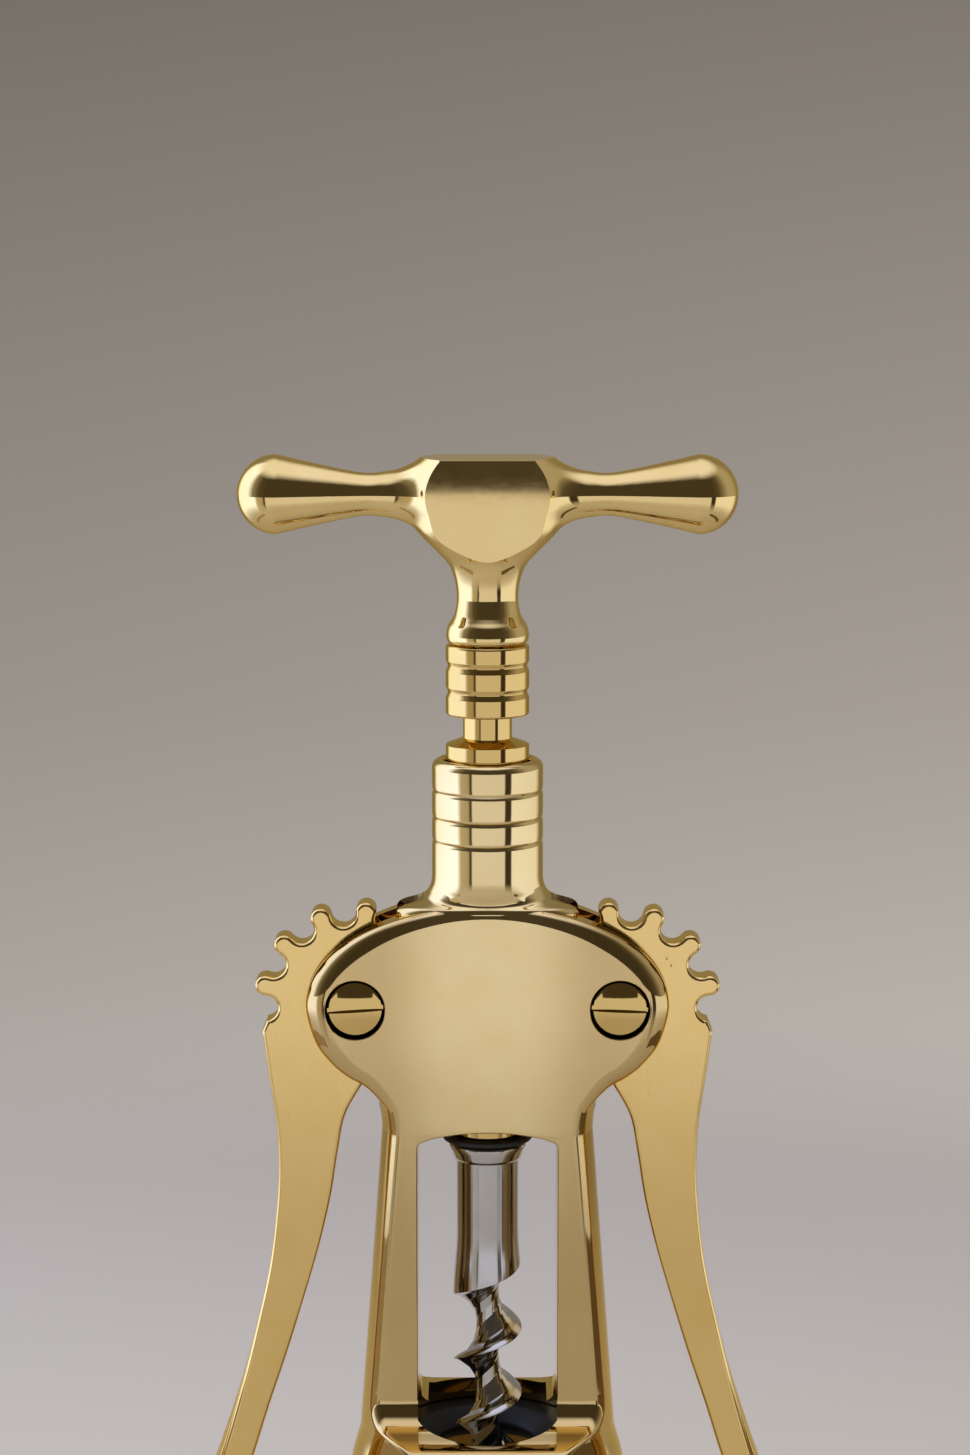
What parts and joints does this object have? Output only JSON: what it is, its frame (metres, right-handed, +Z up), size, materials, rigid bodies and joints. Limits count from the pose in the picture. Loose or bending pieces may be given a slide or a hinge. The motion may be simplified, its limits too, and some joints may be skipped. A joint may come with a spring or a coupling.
{
  "type": "wing corkscrew",
  "caption": "Wing corkscrew: geared levers lift a ring rack that carries a bladed worm, turned by a T handle, above a bell that seats on a bottle's neck.",
  "frame": {"origin": "on the middle axis, in the plane of the bell's rim", "axes": "+Z up the middle axis towards the T handle, the front plate faces -Y, the levers swing in the XZ plane"},
  "size_m": [0.0918, 0.0408, 0.1702],
  "materials": {
    "cast_brass": "cast, then polished bright",
    "lever_brass": "cast, teeth cut, polished, with fine pits",
    "turned_brass": "turned and polished",
    "plated_steel": "bright plated",
    "plain_steel": "drawn rod",
    "black_nylon": "moulded, satin",
    "black_rubber": "moulded, dull"
  },
  "bodies": {
    "frame": {"frame_body": "cast_brass", "bottle_guide": "black_nylon", "left_pivot_screw": "turned_brass", "right_pivot_screw": "turned_brass"},
    "rack": {"rack_sleeve": "turned_brass", "bumper_washer": "black_rubber"},
    "spindle": {"spindle": "plain_steel", "t_handle": "cast_brass", "worm": "plated_steel"},
    "left_lever": {"left_lever": "lever_brass"},
    "right_lever": {"right_lever": "lever_brass"}
  },
  "joints": [
    {"name": "rack_slide", "type": "slide", "parent": "frame", "child": "rack", "axis": [0, 0, -1], "range_m": [-0.0004, 0.028]},
    {"name": "handle_turn", "type": "hinge", "parent": "rack", "child": "spindle", "pos_m": [0, 0, 0.1427], "axis": [0, 0, -1], "continuous": true},
    {"name": "left_lever_pivot", "type": "hinge", "parent": "frame", "child": "left_lever", "pos_m": [-0.01947, 0, 0.08915], "axis": [0, 1, 0], "range_deg": [-1.7, 116.7]},
    {"name": "right_lever_pivot", "type": "hinge", "parent": "frame", "child": "right_lever", "pos_m": [0.01947, 0, 0.08915], "axis": [0, -1, 0], "range_deg": [-1.7, 116.7]}
  ],
  "couplings": [
    {"joint": "left_lever_pivot", "follows": "rack_slide", "rad_per_m": 72.674},
    {"joint": "right_lever_pivot", "follows": "rack_slide", "rad_per_m": 72.674}
  ]
}
